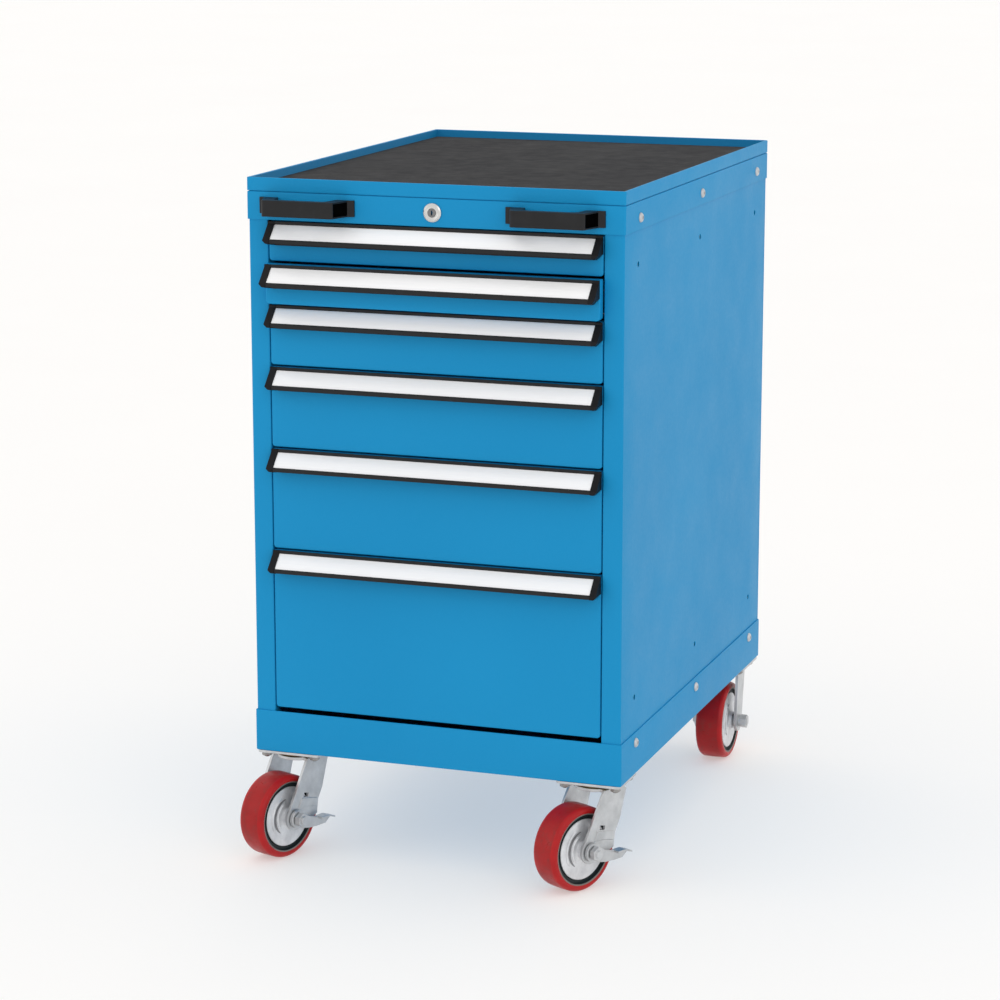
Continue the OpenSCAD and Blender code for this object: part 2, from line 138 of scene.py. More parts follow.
def fillet(points, radii, steps=4):
    """The closed outline with each corner rounded to its radius; radii is one number or one per corner."""
    if not hasattr(radii, "__len__"):
        radii = [radii] * len(points)
    made = []
    for i, point in enumerate(points):
        here = Vector(point)
        before = Vector(points[i - 1]) - here
        after = Vector(points[(i + 1) % len(points)]) - here
        turn = before.angle(after)
        if radii[i] <= 0 or turn > math.pi - 0.02:
            made.append(here)
            continue
        cut = radii[i] / math.tan(turn / 2)
        cut = min(cut, 0.49 * before.length, 0.49 * after.length)
        radius = cut * math.tan(turn / 2)
        start, end = here + before.normalized() * cut, here + after.normalized() * cut
        middle = (before.normalized() + after.normalized()).normalized()
        centre = here + middle * (radius / math.sin(turn / 2))
        first = start - centre
        span = first.angle_signed(end - centre)
        for step in range(steps + 1):
            angle = -span * step / steps
            made.append(centre + Vector((
                first.x * math.cos(angle) - first.y * math.sin(angle),
                first.x * math.sin(angle) + first.y * math.cos(angle),
            )))
    return [(p.x, p.y) for p in made]


def open_fillet(points, radii):
    """The same for an open line, whose two ends stay."""
    ends = [0] + list(radii) + [0]
    return fillet(points, ends)


def rounded_rectangle(x0, x1, y0, y1, radii, steps=6):
    """Counter-clockwise from the lower left corner."""
    return fillet([(x0, y0), (x1, y0), (x1, y1), (x0, y1)], radii, steps)


def circle(radius, count=48):
    return [
        (radius * math.cos(math.tau * i / count), radius * math.sin(math.tau * i / count))
        for i in range(count)
    ]


def hexagon_ring(across):
    """A circle's points pushed onto a hexagon of that width across flats."""
    count = 48
    made = []
    for i in range(count):
        angle = math.tau * i / count
        part = (angle + math.pi / 6) % (math.pi / 3) - math.pi / 6
        radius = across / 2 / math.cos(part)
        made.append((radius * math.cos(angle), radius * math.sin(angle)))
    return made


# Placing of a flat outline: (u, v, w) to (x, y, z)
def from_plan(u, v, w):
    return (u, v, w)


def from_side(u, v, w):
    return (w, u, v)


def from_front(u, v, w):
    return (u, w, v)


class Shape:
    """Collects vertices and faces in millimetres and makes one object of them."""

    def __init__(self):
        self.points = []
        self.faces = []
        self.paints = []

    def add(self, points, faces, place=IDENTITY, paint=0, unit=MM):
        first = len(self.points)
        for point in points:
            moved = place @ Vector(point)
            self.points.append(moved * unit)
        for face in faces:
            self.faces.append([first + i for i in face])
            self.paints.append(paint)

    def loft(self, rings, place=IDENTITY, paint=0, closed=False):
        """Skins equal closed rings of 3-D points, one after another."""
        count = len(rings[0])
        points = [point for ring in rings for point in ring]
        faces = []
        last = len(rings) if closed else len(rings) - 1
        for r in range(last):
            a, b = r * count, (r + 1) % len(rings) * count
            for i in range(count):
                j = (i + 1) % count
                faces.append((a + i, a + j, b + j, b + i))
        if not closed:
            faces.append(tuple(reversed(range(count))))
            faces.append(tuple(range(len(points) - count, len(points))))
        self.add(points, faces, place, paint)

    def prism(self, outline, low, high, lay=from_plan, place=IDENTITY, paint=0, edge=0):
        """An outline from low to high; edge rounds its two rims, for convex outlines."""
        rings = []
        for inset, level in rim(edge, low, high):
            ring = inset_outline(outline, inset) if inset else outline
            rings.append([lay(u, v, level) for u, v in ring])
        self.loft(rings, place, paint=paint)

    def lathe(self, profile, place=IDENTITY, count=64, paint=0, closed=False, paints=None):
        """Turns (radius, height) points about Z; a radius of 0 closes in a point."""
        rows = []
        points, faces, marks = [], [], []
        for radius, height in profile:
            if radius < 1e-6:
                rows.append([len(points)] * count)
                points.append((0, 0, height))
            else:
                rows.append(list(range(len(points), len(points) + count)))
                points += [(x, y, height) for x, y in circle(radius, count)]
        last = len(rows) if closed else len(rows) - 1
        for r in range(last):
            a, b = rows[r], rows[(r + 1) % len(rows)]
            for i in range(count):
                j = (i + 1) % count
                corners = list(dict.fromkeys((a[i], a[j], b[j], b[i])))
                if len(corners) > 2:
                    faces.append(corners)
                    marks.append(paints[r] if paints else paint)
        start = len(self.paints)
        self.add(points, faces, place, paint)
        self.paints[start:] = marks

    def build(self, name, materials, body=None, replaces=(), sharp=32):
        mesh = bpy.data.meshes.new(name)
        mesh.from_pydata([tuple(p) for p in self.points], [], self.faces)
        tidy = bmesh.new()
        tidy.from_mesh(mesh)
        bmesh.ops.recalc_face_normals(tidy, faces=tidy.faces)
        tidy.to_mesh(mesh)
        tidy.free()
        for material in materials:
            mesh.materials.append(material)
        mesh.polygons.foreach_set("material_index", self.paints)
        mesh.shade_smooth()
        mesh.set_sharp_from_angle(angle=math.radians(sharp))
        piece = bpy.data.objects.new(name, mesh)
        bpy.context.scene.collection.objects.link(piece)
        if body:
            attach(piece, body)
        if replaces:
            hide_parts(*replaces)
        return piece


def rim(edge, low, high):
    """(inset, level) pairs of a block's side with both rims rounded."""
    if not edge:
        return [(0, low), (0, high)]
    steps = 3
    turns = [math.pi / 2 * i / steps for i in range(steps + 1)]
    lower = [(edge * (1 - math.sin(t)), low + edge * (1 - math.cos(t))) for t in turns]
    upper = [(edge * (1 - math.cos(t)), high - edge * (1 - math.sin(t))) for t in turns]
    return lower + upper


def inset_outline(outline, inset):
    """Moves each point of an outline inward along the middle of its two edges."""
    made = []
    for i, point in enumerate(outline):
        here = Vector(point)
        before = (here - Vector(outline[i - 1])).normalized()
        after = (Vector(outline[(i + 1) % len(outline)]) - here).normalized()
        normal = Vector((-before.y - after.y, before.x + after.x))
        if normal.length < 1e-9:
            made.append(point)
            continue
        normal.normalize()
        share = max(0.35, normal.dot(Vector((-before.y, before.x))))
        moved = here + normal * inset / share
        made.append((moved.x, moved.y))
    return made


def pan(shape, x, y, profile, lay=from_plan, radii=2):
    """A pressed pan: one rounded rectangle for each (inset, level) of the profile, capped at both ends."""
    smallest, steps = 0.25, 5
    if not hasattr(radii, "__len__"):
        radii = [radii] * 4
    rings = []
    for inset, level in profile:
        corner = [max(r - inset, smallest) for r in radii]
        outline = rounded_rectangle(x[0] + inset, x[1] - inset, y[0] + inset, y[1] - inset, corner, steps)
        rings.append([lay(u, v, level) for u, v in outline])
    shape.loft(rings)


def box_mm(node):
    low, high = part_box(node)
    return low / MM, high / MM


def soften(piece, width, segments=2):
    """Rounds the edges of a piece, in millimetres."""
    bevel = piece.modifiers.new("edges", "BEVEL")
    bevel.width = width * MM
    bevel.segments = segments
    bevel.limit_method = "ANGLE"
    bevel.angle_limit = ROUNDED
    bevel.harden_normals = True
    return piece


def cut(piece, cutter):
    """Takes the cutter's shape out of a piece and removes the cutter."""
    knife = piece.modifiers.new("cut", "BOOLEAN")
    knife.operation = "DIFFERENCE"
    knife.solver = "EXACT"
    knife.object = cutter
    bpy.context.view_layer.update()
    shown = piece.evaluated_get(bpy.context.evaluated_depsgraph_get())
    mesh = bpy.data.meshes.new_from_object(shown)
    piece.modifiers.remove(knife)
    old = piece.data
    piece.data = mesh
    bpy.data.meshes.remove(old)
    bpy.data.objects.remove(cutter)
    mesh.shade_smooth()
    mesh.set_sharp_from_angle(angle=SHARP)
    return piece


# ---- materials ----

class Paint:
    """A node material built step by step round one Principled shader."""

    def __init__(self, name, metallic=0.0, specular=0.5, coat=0.0, coat_roughness=0.1):
        self.material = bpy.data.materials.new(name)
        self.material.use_nodes = True
        self.tree = self.material.node_tree
        self.shader = self.tree.nodes["Principled BSDF"]
        self.shader.inputs["Metallic"].default_value = metallic
        self.shader.inputs["Specular IOR Level"].default_value = specular
        self.shader.inputs["Coat Weight"].default_value = coat
        self.shader.inputs["Coat Roughness"].default_value = coat_roughness
        self.place = self.node("ShaderNodeTexCoord").outputs["Object"]

    def node(self, kind, **settings):
        made = self.tree.nodes.new(kind)
        for key, value in settings.items():
            setattr(made, key, value)
        return made

    def join(self, source, target):
        self.tree.links.new(source, target)

    def stretched(self, scale):
        """Object coordinates, in metres, times a scale for each axis."""
        mapping = self.node("ShaderNodeMapping")
        self.join(self.place, mapping.inputs["Vector"])
        mapping.inputs["Scale"].default_value = scale
        return mapping.outputs["Vector"]

    def noise(self, scale, detail=3, roughness=0.5, stretch=(1, 1, 1)):
        made = self.node("ShaderNodeTexNoise")
        self.join(self.stretched([scale * s for s in stretch]), made.inputs["Vector"])
        made.inputs["Scale"].default_value = 1
        made.inputs["Detail"].default_value = detail
        made.inputs["Roughness"].default_value = roughness
        return made.outputs["Fac"]

    def cells(self, scale, feature="F1"):
        made = self.node("ShaderNodeTexVoronoi", feature=feature)
        self.join(self.stretched([scale] * 3), made.inputs["Vector"])
        made.inputs["Scale"].default_value = 1
        return made.outputs["Distance"]

    def level(self, value, low, high, to_low, to_high):
        made = self.node("ShaderNodeMapRange")
        self.join(value, made.inputs["Value"])
        for key, number in zip(("From Min", "From Max", "To Min", "To Max"), (low, high, to_low, to_high)):
            made.inputs[key].default_value = number
        return made.outputs["Result"]

    def sum(self, first, second, operation="ADD"):
        made = self.node("ShaderNodeMath", operation=operation)
        for socket, value in zip(made.inputs, (first, second)):
            if isinstance(value, (int, float)):
                socket.default_value = value
            else:
                self.join(value, socket)
        return made.outputs[0]

    def blend(self, share, first, second):
        """Mixes two colours, each a triple or a socket."""
        made = self.node("ShaderNodeMix", data_type="RGBA")
        self.join(share, made.inputs["Factor"])
        for key, colour in zip((6, 7), (first, second)):
            if isinstance(colour, tuple):
                made.inputs[key].default_value = (*colour, 1)
            else:
                self.join(colour, made.inputs[key])
        return made.outputs[2]

    def colour(self, source):
        self.join(source, self.shader.inputs["Base Color"])

    def rough(self, source):
        self.join(source, self.shader.inputs["Roughness"])

    def bump(self, *layers):
        """Each layer is (height, distance in millimetres, strength)."""
        normal = None
        for height, distance, strength in layers:
            made = self.node("ShaderNodeBump")
            made.inputs["Distance"].default_value = distance * MM
            made.inputs["Strength"].default_value = strength
            self.join(height, made.inputs["Height"])
            if normal:
                self.join(normal, made.inputs["Normal"])
            normal = made.outputs["Normal"]
        self.join(normal, self.shader.inputs["Normal"])

    def height_of(self):
        made = self.node("ShaderNodeSeparateXYZ")
        self.join(self.place, made.inputs[0])
        return made.outputs["Z"]


def floor_material():
    """Matt white backdrop with a faint glow of its own, as on a lit studio table."""
    paint = Paint("floor", specular=0.1)
    paint.shader.inputs["Emission Color"].default_value = (1, 0.99, 0.97, 1)
    paint.shader.inputs["Emission Strength"].default_value = 0.40
    paint.colour(paint.blend(paint.noise(0.8), (0.58, 0.57, 0.56), (0.60, 0.59, 0.58)))
    paint.rough(paint.level(paint.noise(3), 0.3, 0.7, 0.7, 0.8))
    return paint.material


def powder_coat(name, dark, light):
    """Smooth powder coat: faint orange peel, slow changes of tone, light dust near the floor."""
    paint = Paint(name, specular=0.15)
    tone = paint.blend(paint.level(paint.noise(2.5, 2), 0.3, 0.7, 0, 1), dark, light)
    fleck = paint.level(paint.noise(900, 2), 0.35, 0.65, 0, 0.05)
    tone = paint.blend(fleck, tone, (0.06, 0.38, 0.70))
    scuff = paint.level(paint.noise(28, 6, 0.7, (1, 1, 5)), 0.70, 0.78, 0, 0.04)
    low = paint.level(paint.height_of(), 0.16, 0.30, 1, 0)
    tone = paint.blend(paint.sum(scuff, low, "MULTIPLY"), tone, (0.25, 0.45, 0.60))
    paint.colour(tone)
    rough = paint.level(paint.noise(14, 4), 0.3, 0.7, 0.44, 0.52)
    paint.rough(paint.sum(rough, paint.level(paint.noise(160, 3), 0.3, 0.7, -0.03, 0.03)))
    paint.bump((paint.noise(420, 2, 0.4), 0.05, 0.5), (paint.noise(1800, 2), 0.012, 0.5))
    return paint.material


def black_plastic(name, dark, light, roughness, specular=0.28):
    """Moulded plastic with a fine grain and lighter worn patches."""
    paint = Paint(name, specular=specular)
    worn = paint.level(paint.noise(35, 5, 0.65), 0.5, 0.75, 0, 0.6)
    paint.colour(paint.blend(worn, dark, light))
    paint.rough(paint.level(paint.noise(60, 4), 0.3, 0.7, roughness - 0.06, roughness + 0.08))
    paint.bump((paint.cells(1400, "SMOOTH_F1"), 0.06, 0.5), (paint.noise(300, 3), 0.03, 0.4))
    return paint.material


def mat_rubber():
    paint = Paint("mat_rubber", specular=0.2)
    dust = paint.level(paint.noise(9, 6, 0.7), 0.42, 0.7, 0, 0.8)
    paint.colour(paint.blend(dust, (0.034, 0.034, 0.036), (0.052, 0.052, 0.052)))
    paint.rough(paint.level(paint.noise(50, 4), 0.3, 0.7, 0.62, 0.8))
    paint.bump((paint.noise(1500, 4, 0.7), 0.08, 0.6))
    return paint.material


def label_white():
    """Satin strip with faint streaks along its length."""
    paint = Paint("label_white", specular=0.5, coat=0.3, coat_roughness=0.15)
    streak = paint.level(paint.noise(900, 3, 0.6, (0.012, 1, 1)), 0.3, 0.7, 0, 1)
    paint.colour(paint.blend(streak, (0.95, 0.95, 0.96), (0.99, 0.99, 0.99)))
    paint.rough(paint.level(paint.noise(500, 3, 0.6, (0.02, 1, 1)), 0.3, 0.7, 0.28, 0.42))
    paint.bump((paint.noise(900, 3, 0.6, (0.012, 1, 1)), 0.02, 0.4))
    return paint.material


def plated(name, dark, light, roughness, brush=(1, 1, 1), metallic=0.9, grain=700, tint=None):
    """Plated steel: cloudy tone, fine brushing, small scratches and a patchy roughness."""
    paint = Paint(name, metallic=metallic)
    cloud = paint.level(paint.noise(45, 5, 0.6), 0.3, 0.7, 0, 1)
    tone = paint.blend(cloud, dark, light)
    if tint:
        stain = paint.level(paint.noise(22, 4, 0.6), 0.45, 0.7, 0, 0.7)
        tone = paint.blend(stain, tone, tint)
    paint.colour(tone)
    lines = paint.noise(grain, 4, 0.6, brush)
    spots = paint.level(paint.noise(120, 5, 0.7), 0.3, 0.7, -0.05, 0.07)
    paint.rough(paint.sum(paint.level(lines, 0.3, 0.7, roughness - 0.05, roughness + 0.07), spots))
    paint.bump((lines, 0.02, 0.35), (paint.noise(160, 3), 0.05, 0.25))
    return paint.material


def red_polyurethane(name, dark, light, worn):
    """Cast polyurethane: deep red, slightly see-through at the skin, scuffed by rolling."""
    paint = Paint(name, specular=0.25)
    paint.shader.inputs["Subsurface Weight"].default_value = 0.08
    paint.shader.inputs["Subsurface Radius"].default_value = (0.004, 0.001, 0.0006)
    cloud = paint.level(paint.noise(30, 4), 0.3, 0.7, 0, 1)
    tone = paint.blend(cloud, dark, light)
    scuff = paint.level(paint.noise(110, 6, 0.7), 0.52, 0.70, 0, worn)
    paint.colour(paint.blend(scuff, tone, (0.16, 0.030, 0.024)))
    paint.rough(paint.level(paint.noise(80, 5, 0.6), 0.3, 0.7, 0.26, 0.48))
    paint.bump((paint.noise(260, 4, 0.6), 0.06, 0.35))
    return paint.material


BLUE = powder_coat("blue_paint", (0.004, 0.248, 0.520), (0.006, 0.270, 0.555))
# A darker copy of the blue paint, put on the tray's inner faces as painted shade.
TRAY_SHADE_BLUE = powder_coat("tray_painted_shade", (0.004, 0.180, 0.400), (0.006, 0.200, 0.430))
BLACK = black_plastic("black_plastic", (0.009, 0.009, 0.010), (0.017, 0.017, 0.018), 0.42)
CAP_BLACK = black_plastic("cap_black", (0.005, 0.005, 0.006), (0.010, 0.010, 0.011), 0.5, 0.2)
# Near-black, almost glossless material painted into the handle pockets and the key slot as shade.
SHADE_BLACK = black_plastic("painted_shade_black", (0.001, 0.001, 0.001), (0.003, 0.003, 0.003), 0.8, 0.02)
RUBBER = mat_rubber()
LABEL = label_white()
ZINC = plated("zinc", (0.48, 0.49, 0.50), (0.63, 0.64, 0.65), 0.36)
YELLOW_ZINC = plated("yellow_zinc", (0.52, 0.45, 0.22), (0.66, 0.59, 0.34), 0.40, metallic=0.5,
                     tint=(0.40, 0.32, 0.12))
CAST_SILVER = plated("cast_silver", (0.58, 0.59, 0.61), (0.82, 0.83, 0.85), 0.40, metallic=0.6, grain=1500)
GROOVE = black_plastic("groove", (0.012, 0.020, 0.022), (0.022, 0.034, 0.038), 0.45)
RIM_LIP = plated("rim_lip", (0.16, 0.14, 0.13), (0.24, 0.22, 0.20), 0.5, metallic=0.5)
SLIDE_STEEL = plated("slide_steel", (0.40, 0.41, 0.42), (0.52, 0.53, 0.54), 0.32, (1, 0.02, 1))
NICKEL = plated("nickel", (0.58, 0.58, 0.57), (0.68, 0.68, 0.66), 0.22, metallic=1.0)
DARK_BOLT = plated("dark_bolt", (0.26, 0.25, 0.24), (0.38, 0.37, 0.36), 0.45)
# Darker cast metal for the crescents between the wheel's arcs: painted shade.
CRESCENT_SHADE = plated("painted_shade_crescent", (0.20, 0.20, 0.21), (0.30, 0.30, 0.31), 0.5, metallic=0.6)
DARK_STEEL = plated("dark_steel", (0.16, 0.16, 0.16), (0.24, 0.24, 0.24), 0.35)
RED = red_polyurethane("red_polyurethane", (0.36, 0.007, 0.009), (0.48, 0.010, 0.011), 0.15)
# Darker, browner red for the tyre's crown band: painted dark reflection along the crown, with heavier rolling
# scuffs.
CROWN_REFLECTION_AND_WEAR_RED = red_polyurethane("crown_reflection_and_wear_red", (0.30, 0.008, 0.008), (0.40, 0.010, 0.010), 0.55)


# ---- housing ----

def top_tray():
    low, high = box_mm("top_tray")
    seam, floor = low.z + 1, box_mm("top_mat")[0].z
    skirt = 2.5
    profile = open_fillet(
        [(skirt, low.z), (skirt, seam), (0, seam), (0, high.z), (LIP_WIDTH, high.z), (LIP_WIDTH, floor),
         (LIP_WIDTH + 8, floor)],
        [0, 0.5, 1.3, 1.3, 1.6],
    )
    shape = Shape()
    pan(shape, (low.x, high.x), (low.y, high.y), profile, radii=2.4)
    # Faces further in than the lip take the darker blue: painted shade inside the tray.
    for i, face in enumerate(shape.faces):
        middle = sum((shape.points[j] for j in face), Vector()) / len(face) / MM
        from_edge = min(middle.x - low.x, high.x - middle.x, middle.y - low.y, high.y - middle.y)
        shape.paints[i] = 1 if from_edge > LIP_WIDTH - 0.5 else 0
    shape.build("tray", [BLUE, TRAY_SHADE_BLUE], "cabinet", ["top_tray"])


def top_mat():
    """Rubber mat with fine ribs from side to side."""
    low, high = box_mm("top_mat")
    pitch, groove = 3.4, 0.5
    count = int((high.y - low.y - 2) / pitch)
    step = (high.y - low.y) / count
    line = [(low.y, low.z)]
    for i in range(count):
        start = low.y + i * step
        line += [(start + 0.15 * step, high.z - groove), (start + 0.3 * step, high.z - 0.1),
                 (start + 0.5 * step, high.z), (start + 0.7 * step, high.z - 0.1),
                 (start + 0.85 * step, high.z - groove)]
    line.append((high.y, low.z))
    shape = Shape()
    rings = [[(x, u, v) for u, v in line] for x in (low.x, high.x)]
    shape.loft(rings)
    shape.build("mat", [RUBBER], "cabinet", ["top_mat"], sharp=60)


def top_rail():
    low, high = box_mm("top_rail")
    wall = 2
    profile = open_fillet(
        [(wall + 6, high.z - FLOOR_SHEET), (wall, high.z - FLOOR_SHEET), (wall, low.z), (0, low.z),
         (0, high.z), (8, high.z)],
        [1, 0.4, 0.5, 1.5],
    )
    shape = Shape()
    pan(shape, (low.x, high.x), (low.y, high.y), profile, radii=2.4)
    shape.build("rail", [BLUE], "cabinet", ["top_rail"])


def plinth():
    low, high = box_mm("plinth")
    wall = 2
    profile = open_fillet(
        [(wall + 8, low.z + FLOOR_SHEET), (wall, low.z + FLOOR_SHEET), (wall, high.z), (0, high.z),
         (0, low.z), (10, low.z)],
        [1, 0.4, 0.8, 2],
    )
    shape = Shape()
    pan(shape, (low.x, high.x), (low.y, high.y), profile, radii=2.4)
    shape.build("plinth_skirt", [BLUE], "cabinet", ["plinth"])


def side_panel(side):
    """Side sheet bent into a front stile and a rear flange, with its six fixing holes."""
    node = side + "_side_panel"
    low, high = box_mm(node)
    facing = 1 if side == "right" else -1
    outer = max(abs(low.x), abs(high.x))
    stile = min(abs(low.x), abs(high.x))
    front, rear = low.y, high.y
    outline = fillet(
        [(outer - RETURN_DEPTH, rear), (outer, rear), (outer, front), (stile, front),
         (stile, front + RETURN_DEPTH), (stile + SHEET, front + RETURN_DEPTH), (stile + SHEET, front + SHEET),
         (outer - SHEET, front + SHEET), (outer - SHEET, rear - SHEET),
         (outer - RETURN_DEPTH, rear - SHEET)],
        [0.5, 2.2, 2.2, 1.8, 0.5, 0.5, 0.6, 0.8, 0.8, 0.5],
    )
    outline = [(facing * x, y) for x, y in outline]
    shape = Shape()
    shape.prism(outline, low.z, high.z)
    panel = shape.build(side + "_panel", [BLUE], "cabinet", [node])
    knife = Shape()
    mounts = [m for m in frame["record"]["mounts"] if m["name"].startswith(side)]
    for mount in mounts:
        _, y, z = [value / MM for value in mount["pos_m"]]
        hole = circle(mount["dims"]["hole_r_mm"], 32)
        rise = mount["dims"]["spacing_y_mm"] / 2
        run = mount["dims"].get("spacing_x_mm", 0) / 2
        for dy in sorted({-run, run}):
            for dz in (-rise, rise):
                place = Matrix.Translation((facing * (outer - 6), y + dy, z + dz))
                knife.loft([[(w, u, v) for u, v in hole] for w in (0, 12 * facing)], place)
    cut(panel, knife.build("knife", []))


def back_panel():
    low, high = box_mm("back_panel")
    shape = Shape()
    outline = rounded_rectangle(low.x, high.x, low.z, high.z, 1.5, 3)
    shape.prism(outline, low.y, high.y, from_front, edge=0.5)
    shape.build("rear_sheet", [BLUE], "cabinet", ["back_panel"])


def button_head(shape, place):
    """Button-head screw seen from outside: domed head, chamfered rim and hexagon socket."""
    dome = [(7, 0), (7, 0.9), (6.5, 2.1), (5.7, 2.9), (4.7, 3.6), (3.6, 4.0), (3.0, 4.2)]
    rings = [[(x, y, h) for x, y in circle(r, 48)] for r, h in dome]
    socket = 4.6
    rings.append([(x, y, 4.2) for x, y in hexagon_ring(socket + 0.5)])
    rings.append([(x, y, 3.9) for x, y in hexagon_ring(socket)])
    rings.append([(x, y, 1.9) for x, y in hexagon_ring(socket)])
    rings.append([(x, y, 1.5) for x, y in circle(0.8, 48)])
    shape.loft(rings, place)


def threaded_rod(shape, place, radius, low, high):
    """A rod whose surface rises and falls like a thread, turned as rings."""
    pitch, sides = 1.25, 24
    turns = max(1, round((high - low) / pitch))
    step = (high - low) / turns
    profile = [(0, low), (radius - 0.7, low)]
    for i in range(turns):
        profile += [(radius, low + (i + 0.5) * step), (radius - 0.55, low + (i + 1) * step)]
    profile.append((0, high))
    shape.lathe(profile, place, sides)


def hexagon_nut(shape, place, across, height, bore=0.0):
    """Hexagon with its corners turned down to a chamfer on both faces."""
    flat = across / 2
    rings = []
    for level, limit in ((0, flat * 0.95), (height * 0.1, None), (height * 0.9, None), (height, flat * 0.95)):
        if limit:
            rings.append([(x, y, level) for x, y in circle(limit, 48)])
        else:
            rings.append([(x, y, level) for x, y in hexagon_ring(across)])
    if bore:
        for level in (height, 0):
            rings.append([(x, y, level) for x, y in circle(bore, 48)])
        shape.loft(rings, place, closed=True)
    else:
        shape.loft(rings, place)


def side_screws():
    low, high = box_mm("side_screws")
    head_height = 4.2
    reach = high.x - head_height
    rows = sorted({round(v, 1) for v in screw_rows()})
    shape = Shape()
    for facing in (-1, 1):
        turn = Matrix.Rotation(facing * math.pi / 2, 4, "Y")
        for y in (low.y + NUT_REACH, (low.y + high.y) / 2, high.y - NUT_REACH):
            for z in rows:
                place = Matrix.Translation((facing * reach, y, z)) @ turn
                button_head(shape, place)
                threaded_rod(shape, place, BOLT_RADIUS, -12, -0.1)
                nut = place @ Matrix.Translation((0, 0, -10))
                hexagon_nut(shape, nut, NUT_ACROSS, NUT_HEIGHT, BOLT_RADIUS)
    shape.build("screws", [ZINC], "cabinet", ["side_screws"])


def screw_rows():
    """Heights of the two rows of side screws, from the screws' own box."""
    low, high = box_mm("side_screws")
    return low.z + NUT_REACH, high.z - NUT_REACH


# ---- pull handles and lock ----

def pull_handles():
    low, high = box_mm("pull_handles")
    height = high.z - low.z
    out, face = high.y - low.y, high.y
    for name, centre in (("left", low.x + PULL_LENGTH / 2), ("right", high.x - PULL_LENGTH / 2)):
        place = Matrix.Translation((centre, face, (low.z + high.z) / 2))
        piece = pull_handle(name, place, PULL_LENGTH, out, height)
        if name == "left":
            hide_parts("pull_handles")


def pull_handle(name, place, length, out, height):
    """Bar on two sloping legs with broad feet; each leg has a deep screw pocket in its outer face."""
    foot, slope, bar = 9, 19, 11
    half = length / 2
    end = half - foot - slope / 2
    inner = half - foot - slope
    outline = [
        (-half, 0), (-half, -3), (-half + foot, -5), (-end, -out + 2), (-end + 3, -out), (end - 3, -out),
        (end, -out + 2), (half - foot, -5), (half, -3), (half, 0), (inner, 0),
        (end - bar - 3, -out + bar + 4), (end - bar - 8, -out + bar), (-end + bar + 8, -out + bar),
        (-end + bar + 3, -out + bar + 4), (-inner, 0),
    ]
    radii = [0.6, 1.5, 3, 4, 6, 6, 4, 3, 1.5, 0.6, 0.8, 8, 8, 8, 8, 0.8]
    outline = fillet(outline, radii, 5)
    shape = Shape()
    shape.prism(outline, -height / 2, height / 2, place=place)
    piece = shape.build(name + "_pull", [BLACK, SHADE_BLACK], "cabinet")
    knife = Shape()
    wall, deep = 2.2, 7.5
    for facing in (-1, 1):
        pocket = fillet(
            [(facing * (half - foot + 8), -6), (facing * (end + 8), -out + 3.5),
             (facing * (end - deep), -out + 3.5), (facing * (half - foot - deep), -6)], 0.8, 2)
        # The pockets' cut faces take the near-black material: painted shade in the pockets.
        knife.prism(pocket, -height / 2 + wall, height / 2 - wall, place=place, paint=1)
    cut(piece, knife.build("knife", [BLACK, SHADE_BLACK]))
    return soften(piece, 1.1, 3)


def lock():
    low, high = box_mm("lock_housing")
    front, rear = low.y, high.y
    radius = (high.x - low.x) / 2
    outward = Matrix.Translation(((low.x + high.x) / 2, front + 3, (low.z + high.z) / 2))
    outward = outward @ Matrix.Rotation(math.pi / 2, 4, "X")
    shape = Shape()
    profile = fillet(
        [(6.1, 3), (8.2, 2.4), (9.6, 3), (radius - 2.2, 3), (radius, 1.6), (radius, 0), (9.5, 0),
         (9.5, front + 3 - rear), (6.1, front + 3 - rear)],
        [0.5, 1.0, 0.8, 1.2, 0.6, 0.2, 0, 0.4, 0.2], 3)
    shape.lathe(profile, outward, closed=True)
    shape.build("lock_case", [NICKEL], "cabinet", ["lock_housing"])
    barrel(outward)
    soften(cad_copy("lock_cam", "cam", "lock", ZINC), 0.5)


def barrel(outward):
    """Key barrel with a double-bitted slot and a ring round its rim."""
    low, high = box_mm("lock_barrel")
    radius = (high.x - low.x) / 2 - 0.02
    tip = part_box("lock_housing")[0].y / MM + 3 - low.y
    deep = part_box("lock_housing")[0].y / MM + 3 - high.y
    shape = Shape()
    profile = [
        (0, tip - 0.3), (3.9, tip - 0.3), (4.3, tip), (radius - 0.3, tip), (radius, tip - 0.3),
        (radius, deep), (0, deep),
    ]
    shape.lathe(profile, outward)
    piece = shape.build("key_barrel", [DARK_STEEL, SHADE_BLACK], "lock", ["lock_barrel"])
    knife = Shape()
    slot = fillet(
        [(-1, -3.4), (1, -3.4), (1, -1), (1.7, -0.5), (1.7, 1), (1, 1.4), (1, 3.4), (-1, 3.4)], 0.2, 2)
    # The slot's cut faces take the near-black material: painted shade in the slot.
    knife.prism(slot, tip - 5, tip + 2, place=outward, paint=1)
    cut(piece, knife.build("knife", [DARK_STEEL, SHADE_BLACK]))


def cad_copy(node, name, body, material):
    """A new piece with a CAD node's own shape, so that it can take rounded edges."""
    mesh = frame["nodes"][node].data.copy()
    mesh.materials.clear()
    mesh.materials.append(material)
    joined = bmesh.new()
    joined.from_mesh(mesh)
    bmesh.ops.remove_doubles(joined, verts=joined.verts, dist=1e-6)
    bmesh.ops.dissolve_limit(joined, angle_limit=math.radians(1), verts=joined.verts, edges=joined.edges)
    joined.to_mesh(mesh)
    joined.free()
    mesh.shade_smooth()
    mesh.set_sharp_from_angle(angle=SHARP)
    piece = bpy.data.objects.new(name, mesh)
    bpy.context.scene.collection.objects.link(piece)
    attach(piece, body)
    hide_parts(node)
    return piece


# ---- drawers ----

